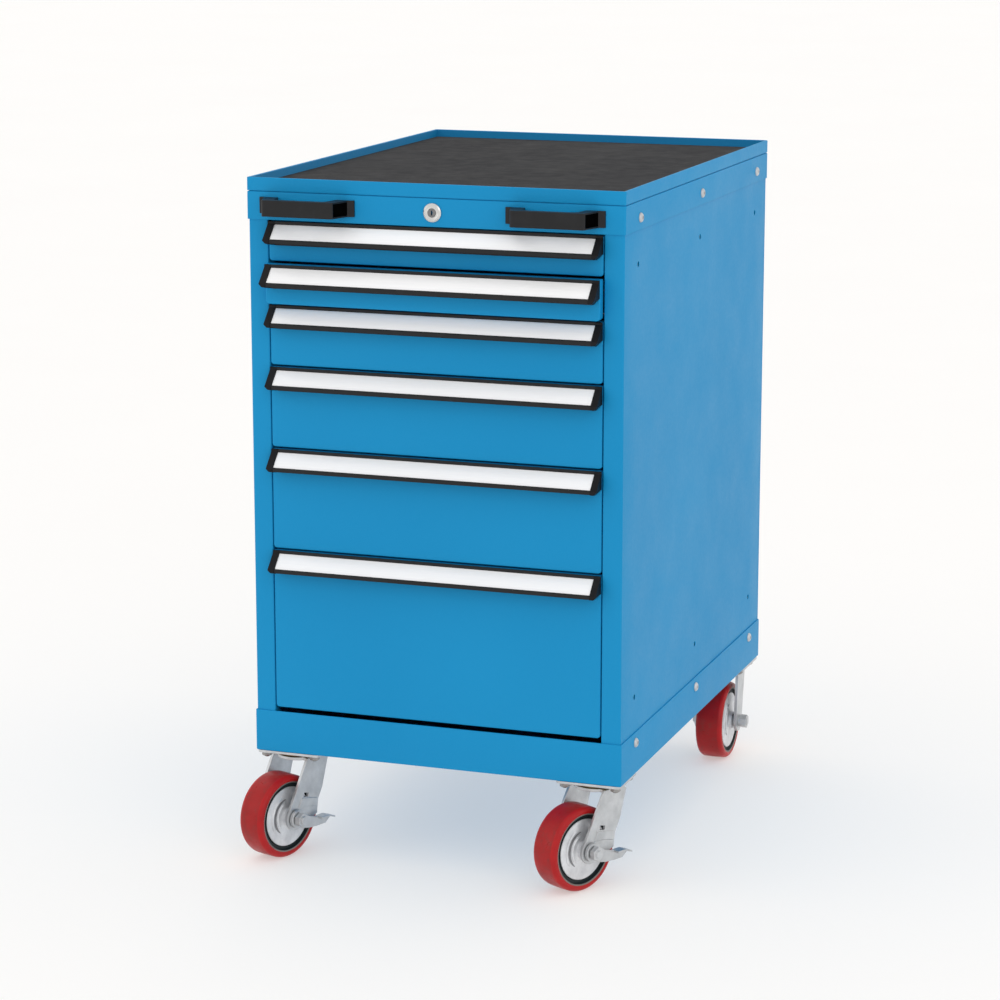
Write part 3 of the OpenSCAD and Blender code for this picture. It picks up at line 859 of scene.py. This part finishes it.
def drawer(k):
    node, body = f"drawer_{k}", f"drawer_{k}"
    low, high = box_mm(node)
    front = low.y
    shape = Shape()
    face = open_fillet(
        [(SHEET + 6, SHEET), (SHEET, SHEET), (SHEET, DRAWER_RETURN), (0, DRAWER_RETURN), (0, 0), (8, 0)],
        [0.6, 0.3, 0.3, 1.7],
    )
    face = [(inset, front + depth) for inset, depth in face]
    pan(shape, (low.x, high.x), (low.z, high.z), face, from_front, [5, 5, 1.8, 1.8])
    inner, walls_top = 230.5, high.z - 8.5
    floor = low.z + 3.5
    tub = open_fillet(
        [(SHEET + 5, floor + SHEET), (SHEET, floor + SHEET), (SHEET, walls_top), (0, walls_top), (0, floor),
         (6, floor)],
        [1.2, 0.7, 0.7, 1.6],
    )
    pan(shape, (-inner, inner), (front + SHEET - 0.05, high.y), tub, radii=1.6)
    shape.build(f"drawer_{k}_box", [BLUE], body, [node])


def grip(k):
    """Full-width grip: rounded channel profile with a moulded cap at each end."""
    node, body = f"drawer_{k}_grip", f"drawer_{k}"
    high = box_mm(node)[1]
    face, top = high.y, high.z + GRIP_GAP
    half = high.x - CAP_WIDTH
    lip_out, lip_low, back_low = GRIP_LIP_OUT, GRIP_LIP_LOW, GRIP_LOW
    outline = fillet(
        [(0, -1.5), (-2.8, -1.5), (-2.8, -5.4), (-1.5, -6.7), (-21, -26.2), (-22.4, -24.8), (-lip_out, -26.4),
         (-lip_out, -lip_low), (-lip_out + 2.4, -lip_low), (-lip_out + 2.4, -lip_low + 1), (-2, -10.6),
         (-2, -back_low), (0, -back_low)],
        [0.3, 0.7, 0.3, 0.2, 0.2, 0.3, 0.9, 1.0, 0.5, 0.5, 3, 0.5, 0.3], 3)
    shape = Shape()
    place = Matrix.Translation((0, face, top))
    shape.prism(outline, -half, half, from_side, place)
    shape.build(f"drawer_{k}_bar", [BLACK], body, [node])
    for name, facing in (("left", -1), ("right", 1)):
        end_cap(k, name, facing, place, half)


def end_cap(k, name, facing, place, half):
    """Cap with a bevelled lower outer corner; its slanted face lies flush with the channel's lips."""
    outline = fillet(
        [(0, -GRIP_GAP), (-3.4, -GRIP_GAP), (-3.4, -5), (-24.8, -26.4), (-24.8, -GRIP_LIP_LOW), (-18, -33),
         (0, -GRIP_LOW)],
        [0.3, 0.8, 1.2, 1.2, 1.4, 2, 0.3], 3)
    shape = Shape()
    ends = sorted((facing * (half + 0.2), facing * (half + CAP_WIDTH)))
    shape.prism(outline, ends[0], ends[1], from_side, place)
    piece = shape.build(f"drawer_{k}_{name}_cap", [CAP_BLACK], f"drawer_{k}")
    knife = Shape()
    bevel = 9
    corner = Matrix.Translation((facing * (half + CAP_WIDTH), 0, -GRIP_LOW))
    turn = corner @ Matrix.Rotation(math.pi / 4, 4, "Y")
    side = bevel / math.sqrt(2)
    knife.prism([(-side, -60), (side, -60), (side, 60), (-side, 60)], -side, side, place=place @ turn)
    cut(piece, knife.build("knife", []))
    soften(piece, 0.9, 3)


def label(k):
    node, body = f"drawer_{k}_label", f"drawer_{k}"
    low, high = box_mm(node)
    grip_high = box_mm(f"drawer_{k}_grip")[1]
    place = Matrix.Translation((0, grip_high.y, grip_high.z + GRIP_GAP))
    thick = 1 / math.sqrt(2)
    near, far, shift = 1.7, 20.8, 5.2
    outline = fillet(
        [(-near, -near - shift), (-far, -far - shift), (-far - thick, -far - shift + thick),
         (-near - thick, -near - shift + thick)], 0.25, 2)
    shape = Shape()
    shape.prism(outline, low.x, high.x, from_side, place)
    shape.build(f"drawer_{k}_strip", [LABEL], body, [node])


# ---- slides ----

def dress_slides():
    """The slide members keep their CAD shape, with small rolled edges."""
    names = [f"drawer_{k}_{part}" for k in DRAWERS for part in ("slides", "runners")]
    for name in names + ["slide_rails"]:
        node = frame["nodes"][name]
        node.data.materials.clear()
        node.data.materials.append(SLIDE_STEEL)
        soften(node, 0.35, 2)


# ---- casters ----

def plate_middle(corner):
    """Middle of a caster's plate, in plan and in millimetres."""
    if corner in FRONT:
        x, y, _ = JOINTS[corner + "_swivel_turn"]["pos_m"]
        return x / MM, y / MM
    low, high = box_mm(corner + "_bracket")
    return JOINTS[corner + "_wheel_spin"]["pos_m"][0] / MM, (low.y + high.y) / 2


def wheel_place(corner):
    """Wheel centre, with its axle along Z."""
    spin = JOINTS[corner + "_wheel_spin"]
    axle = Vector(spin["axis"])
    turn = axle.to_track_quat("Z", "Y").to_matrix().to_4x4()
    return Matrix.Translation(Vector(spin["pos_m"]) / MM) @ turn


def caster_plates():
    low, high = box_mm("caster_plates")
    pin_end = low.z - high.z
    shape = Shape()
    for corner in FRONT:
        place = Matrix.Translation((*plate_middle(corner), high.z))
        across, along = PLATE_WIDTH / 2, PLATE_DEPTH / 2
        outline = rounded_rectangle(-across, across, -along, along, 7, 5)
        shape.prism(outline, -PLATE, 0, place=place, edge=0.6)
        race = fillet([(0, -PLATE), (33, -PLATE), (33, -6.2), (30, -8.6), (26, -9.4), (0, -9.4)],
                      [0, 0.4, 1, 1, 0.8, 0], 3)
        shape.lathe(race, place, paint=1)
        shape.lathe([(0, pin_end), (5, pin_end), (6, pin_end + 1), (6, -9), (0, -9)], place, 32, paint=1)
        nut = place @ Matrix.Translation((0, 0, pin_end + 0.5))
        hexagon_nut(shape, nut, 19, 6.2)
    shape.build("plates", [ZINC, YELLOW_ZINC], "cabinet", ["caster_plates"])


def caster_bolts():
    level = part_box("caster_plates")[1].z / MM
    shape = Shape()
    for corner in FRONT + REAR:
        x, y = plate_middle(corner)
        for dx in (-BOLT_X, BOLT_X):
            for dy in (-BOLT_Y, BOLT_Y):
                place = Matrix.Translation((x + dx, y + dy, level))
                head = place @ Matrix.Translation((0, 0, FLOOR_SHEET))
                nut = place @ Matrix.Translation((0, 0, -PLATE - NUT_HEIGHT))
                hexagon_nut(shape, head, NUT_ACROSS, 5.3)
                hexagon_nut(shape, nut, NUT_ACROSS, NUT_HEIGHT, BOLT_RADIUS)
                threaded_rod(shape, place, BOLT_RADIUS, -12.2, -PLATE + 0.1)
    shape.build("bolts", [DARK_BOLT], "cabinet", ["caster_bolts"])


def fork(corner):
    piece = cad_copy(corner + "_fork", corner + "_caster_fork", corner + "_swivel", ZINC)
    soften(piece, 0.9, 3)


def bracket(corner):
    piece = cad_copy(corner + "_bracket", corner + "_frame", "cabinet", ZINC)
    soften(piece, 0.9, 3)


def wheel(corner):
    """Cast wheel: flanged hub, dished disc with raised arcs, and a dark groove inside the rim."""
    body = corner + "_wheel"
    place = wheel_place(corner)
    silver, dark, lip = 0, 1, 2
    half = [
        (6.08, 26.4, silver), (8.5, 26.6, silver), (12.6, 26.6, silver), (13.4, 26.0, silver),
        (14.2, 21.4, silver), (16.0, 20.2, silver), (24, 19.7, silver), (42.6, 19.7, silver),
        (44.2, 19.3, silver), (44.8, 18.4, dark), (45.6, 16.6, dark), (49.6, 16.5, dark),
        (50.5, 18.2, dark), (50.9, 20.8, lip), (51.5, 21.4, lip), (CORE_RADIUS, 21.5, lip),
    ]
    profile = [(r, h) for r, h, _ in half] + [(r, -h) for r, h, _ in reversed(half)]
    paints = [paint for _, _, paint in half[:-1]] + [silver]
    paints += [paint for _, _, paint in reversed(half[:-1])] + [silver]
    shape = Shape()
    shape.lathe(profile, place, 96, closed=True, paints=paints)
    for facing in (-1, 1):
        for radius, start, end in ((22, 95, 240), (33, 105, 225)):
            ridge(shape, place, radius, start, end, facing)
        # The crescent between the arcs on each face is a darker skin: painted shade.
        shade_crescent(shape, place, 25.5, 30, 100, 232, facing)
    materials = [CAST_SILVER, GROOVE, RIM_LIP, CRESCENT_SHADE]
    shape.build(corner + "_hub", materials, body, [corner + "_wheel_core"])
    tread(corner, body, place)


def ridge(shape, place, radius, start, end, facing):
    """A raised arc cast on the disc, tapering off at both ends."""
    steps, width, height, base = 28, 2.6, 2.6, 19.0
    rings = []
    for i in range(steps + 1):
        share = i / steps
        angle = math.radians(start + (end - start) * share)
        swell = min(1, 6 * share, 6 * (1 - share))
        out = Vector((math.cos(angle), math.sin(angle), 0))
        ring = []
        for j in range(8):
            turn = math.tau * j / 8
            across = radius + width * max(swell, 0.2) * math.cos(turn)
            level = base + height * max(swell, 0.1) * math.sin(turn)
            ring.append(tuple(out * across + Vector((0, 0, facing * level))))
        rings.append(ring)
    shape.loft(rings, place)


def shade_crescent(shape, place, inner, outer, start, end, facing):
    """Darker crescent between the arcs, a thin skin on the disc: painted shade."""
    steps, base, top = 28, 19.3, 20.1
    rings = []
    for i in range(steps + 1):
        angle = math.radians(start + (end - start) * i / steps)
        narrow = 1 - 0.8 * abs(2 * i / steps - 1) ** 3
        middle, half = (inner + outer) / 2, (outer - inner) / 2 * narrow
        out = Vector((math.cos(angle), math.sin(angle), 0))
        rings.append([
            tuple(out * radius + Vector((0, 0, facing * level)))
            for radius, level in ((middle - half, base), (middle + half, base), (middle + half, top),
                                  (middle - half, top))
        ])
    shape.loft(rings, place, paint=3)


def tread(corner, body, place):
    """Crowned polyurethane tyre with round shoulders."""
    low, high = CORE_RADIUS, WHEEL_RADIUS
    half_width, shoulder = 22, 8
    side = [(low, half_width - 0.6), (low + 1.5, half_width - 0.1), (low + 3.2, half_width)]
    arc = []
    for i in range(1, 9):
        angle = math.radians(90 - 80 * i / 8)
        arc.append((high - 6.4 + 6.2 * math.cos(angle), half_width - shoulder + shoulder * math.sin(angle)))
    crown = [(high - 0.12, 8), (high, 3)]
    half = side + arc + crown
    profile = half + [(r, -h) for r, h in reversed(half)]
    # The crown band takes the darker red: painted dark reflection along the crown, with rolling scuffs.
    crown_reflection_band = range(len(half) - 3, len(half) + 2)
    paints = [1 if i in crown_reflection_band else 0 for i in range(len(profile))]
    shape = Shape()
    shape.lathe(profile, place, 96, closed=True, paints=paints)
    materials = [RED, CROWN_REFLECTION_AND_WEAR_RED]
    shape.build(corner + "_tyre", materials, body, [corner + "_tread"], sharp=50)


def brake(corner):
    node = corner + "_brake_pedal"
    piece = cad_copy(node, corner + "_lever", corner + "_brake", ZINC)
    soften(piece, 0.8, 3)


# ---- everything ----

make_camera()
make_studio()
top_tray()
top_mat()
top_rail()
plinth()
back_panel()
for side in ("left", "right"):
    side_panel(side)
side_screws()
pull_handles()
lock()
for k in DRAWERS:
    drawer(k)
    grip(k)
    label(k)
dress_slides()
caster_plates()
caster_bolts()
for corner in FRONT:
    fork(corner)
    brake(corner)
for corner in REAR:
    bracket(corner)
for corner in FRONT + REAR:
    wheel(corner)
